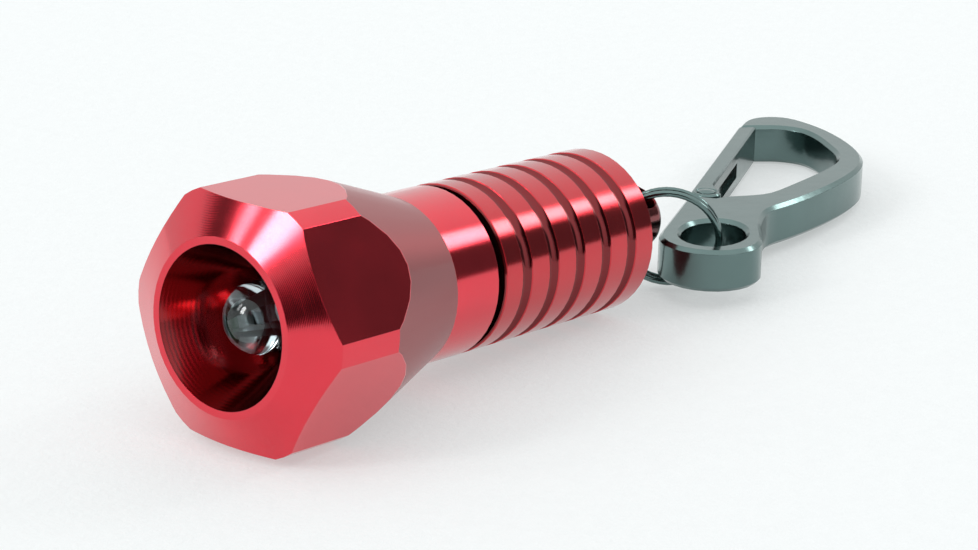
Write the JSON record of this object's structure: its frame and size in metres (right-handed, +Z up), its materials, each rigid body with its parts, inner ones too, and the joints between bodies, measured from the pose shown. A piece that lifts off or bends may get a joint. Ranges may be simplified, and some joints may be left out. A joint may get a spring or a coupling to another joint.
{
  "type": "keychain flashlight",
  "caption": "Small keychain flashlight: hexagonal screw-on head with a single LED, grooved battery tube, tail lug, split ring and a flat snap hook with a sprung gate.",
  "frame": {"origin": "middle of the footprint, on the surface the flashlight lies on", "axes": "+Z up; +X along the object, from the head to the snap hook; the flashlight's own axis drops 4.4 degrees towards its tail in the XZ plane"},
  "size_m": [0.083, 0.0226, 0.0176],
  "materials": {
    "anodised_red": "red anodised, bright turned with fine concentric tool lines",
    "black_nickel": "polished black-nickel plate",
    "clear_epoxy": "water-clear moulded epoxy",
    "tinned_lead": "tinned, satin",
    "bright_steel": "bright nickel-plated steel",
    "contact_brass": "plain brass",
    "holder_plastic": "matt white",
    "board_green": "satin green solder mask",
    "resistor_black": "matt black",
    "seal_rubber": "black, lightly greased",
    "sleeve_card": "plain insulating card"
  },
  "bodies": {
    "tube": {"battery_tube": "anodised_red", "battery_sleeve": "sleeve_card", "tail_spring": "bright_steel", "tube_seal": "seal_rubber"},
    "cells": {"cell_1": "bright_steel", "cell_2": "bright_steel", "cell_3": "bright_steel", "cell_4": "bright_steel"},
    "led_module": {"led_lens": "clear_epoxy", "led_cathode_lead": "tinned_lead", "led_anode_lead": "tinned_lead", "led_seal": "seal_rubber", "led_holder": "holder_plastic", "circuit_board": "board_green", "limit_resistor": "resistor_black", "negative_ring": "contact_brass", "positive_contact": "contact_brass"},
    "head": {"head_shell": "anodised_red"},
    "ring": {"split_ring": "black_nickel"},
    "hook": {"hook_body": "black_nickel", "gate_rivet": "black_nickel", "gate_spring": "black_nickel"},
    "gate": {"hook_gate": "black_nickel"}
  },
  "joints": [
    {"name": "led_module_travel", "type": "slide", "parent": "tube", "child": "led_module", "axis": [0.997, 0, -0.0772], "range_m": [-0.003, 0.00056]},
    {"name": "head_twist", "type": "hinge", "parent": "led_module", "child": "head", "pos_m": [-0.04106, -0.00193, 0.00925], "axis": [0.997, 0, -0.0772], "range_deg": [-1441, 271]},
    {"name": "cell_travel", "type": "slide", "parent": "tube", "child": "cells", "axis": [0.997, 0, -0.0772], "range_m": [-0.00301, 0.00057], "deforming": ["tail_spring"]},
    {"name": "ring_swing", "type": "hinge", "parent": "tube", "child": "ring", "pos_m": [0.0035, -0.00193, 0.0058], "axis": [0.07, -0.4226, 0.9036], "range_deg": [-35, 80]},
    {"name": "hook_swing", "type": "hinge", "parent": "ring", "child": "hook", "pos_m": [0.00544, -0.00446, 0.00447], "axis": [-0.824, -0.5351, -0.1865], "range_deg": [-30, 80]},
    {"name": "gate_hinge", "type": "hinge", "parent": "hook", "child": "gate", "pos_m": [0.01728, 0.00049, 0.00085], "axis": [0.0301, 0.0139, 0.9995], "range_deg": [-12.5, 0], "stiffness_Nm_per_rad": 0.004, "springref_deg": 17.19}
  ],
  "couplings": [
    {"joint": "head_twist", "follows": "led_module_travel", "rad_per_m": 8377.6},
    {"joint": "cell_travel", "follows": "led_module_travel", "ratio": 1}
  ]
}
